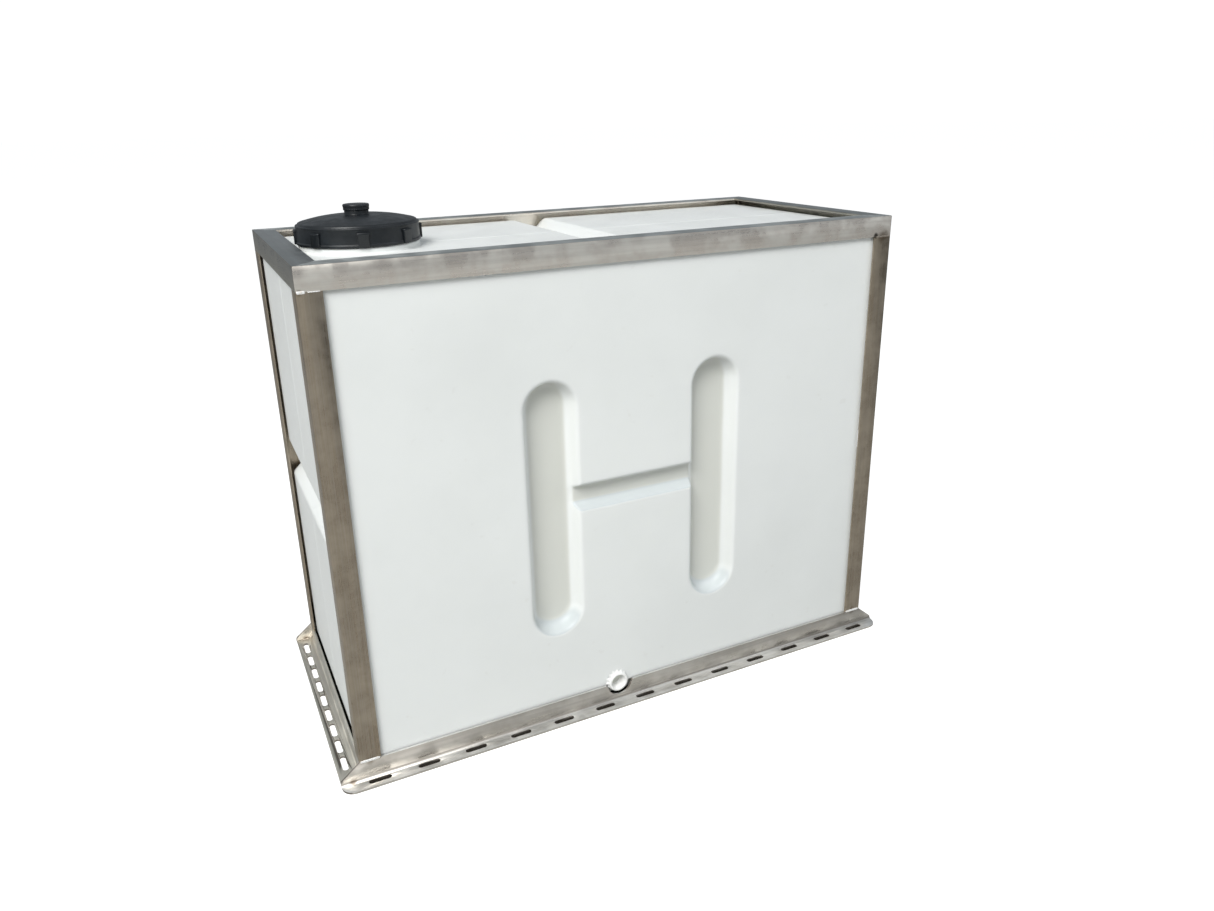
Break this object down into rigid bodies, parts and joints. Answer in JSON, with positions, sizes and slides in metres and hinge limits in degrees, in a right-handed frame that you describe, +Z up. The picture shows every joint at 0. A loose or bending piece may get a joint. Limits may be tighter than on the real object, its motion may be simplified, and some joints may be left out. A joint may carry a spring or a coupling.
{
  "type": "fresh water tank",
  "caption": "Rectangular moulded plastic fresh water tank in a welded stainless angle cage, with a screw fill lid, a vent, a bottom drain and slotted floor flanges.",
  "frame": {"origin": "middle of the footprint, on the floor", "axes": "+X along the tank's length, away from the fill lid; -Y towards the front with the drain; +Z up"},
  "size_m": [0.9714, 0.473, 0.7916],
  "materials": {
    "tank_plastic": "milky translucent polyethylene, satin",
    "fitting_plastic": "natural polyethylene, satin",
    "lid_plastic": "black polypropylene, satin",
    "cage_steel": "mill finish stainless, lightly brushed",
    "weld_steel": "bright TIG bead with heat tint",
    "gasket_rubber": "matt EPDM",
    "filter_foam": "open-cell foam",
    "screen_steel": "perforated stainless"
  },
  "bodies": {
    "cage_and_tank": {"tank_shell": "tank_plastic", "drain_fitting": "fitting_plastic", "top_rail_front": "cage_steel", "top_rail_back": "cage_steel", "top_rail_left": "cage_steel", "top_rail_right": "cage_steel", "post_front_left": "cage_steel", "post_front_right": "cage_steel", "post_back_left": "cage_steel", "post_back_right": "cage_steel", "base_angle_front": "cage_steel", "base_angle_back": "cage_steel", "base_angle_left": "cage_steel", "base_angle_right": "cage_steel", "top_corner_welds": "weld_steel", "post_top_welds": "weld_steel", "post_foot_welds": "weld_steel", "base_corner_welds": "weld_steel"},
    "gasket": {"lid_gasket": "gasket_rubber"},
    "lid": {"fill_lid": "lid_plastic", "vent_screen": "screen_steel"},
    "vent_ring": {"vent_filter_ring": "filter_foam"},
    "vent_knob": {"vent_cap": "lid_plastic"},
    "vent_disc": {"vent_valve": "lid_plastic"}
  },
  "joints": [
    {"name": "lid_rise", "type": "slide", "parent": "cage_and_tank", "child": "gasket", "axis": [0, 0, 1], "range_m": [0, 0.0121]},
    {"name": "lid_turn", "type": "hinge", "parent": "gasket", "child": "lid", "pos_m": [-0.3342, 0, 0.75], "axis": [0, 0, 1], "range_deg": [0, 540]},
    {"name": "vent_cap_rise", "type": "slide", "parent": "lid", "child": "vent_ring", "axis": [0, 0, 1], "range_m": [0, 0.00505]},
    {"name": "vent_cap_turn", "type": "hinge", "parent": "vent_ring", "child": "vent_knob", "pos_m": [-0.3342, 0, 0.785], "axis": [0, 0, 1], "range_deg": [0, 720]},
    {"name": "vent_valve_lift", "type": "slide", "parent": "lid", "child": "vent_disc", "axis": [0, 0, 1], "range_m": [0, 0.003]}
  ],
  "couplings": [
    {"joint": "lid_rise", "follows": "lid_turn", "m_per_rad": 0.0012732},
    {"joint": "vent_cap_rise", "follows": "vent_cap_turn", "m_per_rad": 0.00039789}
  ]
}
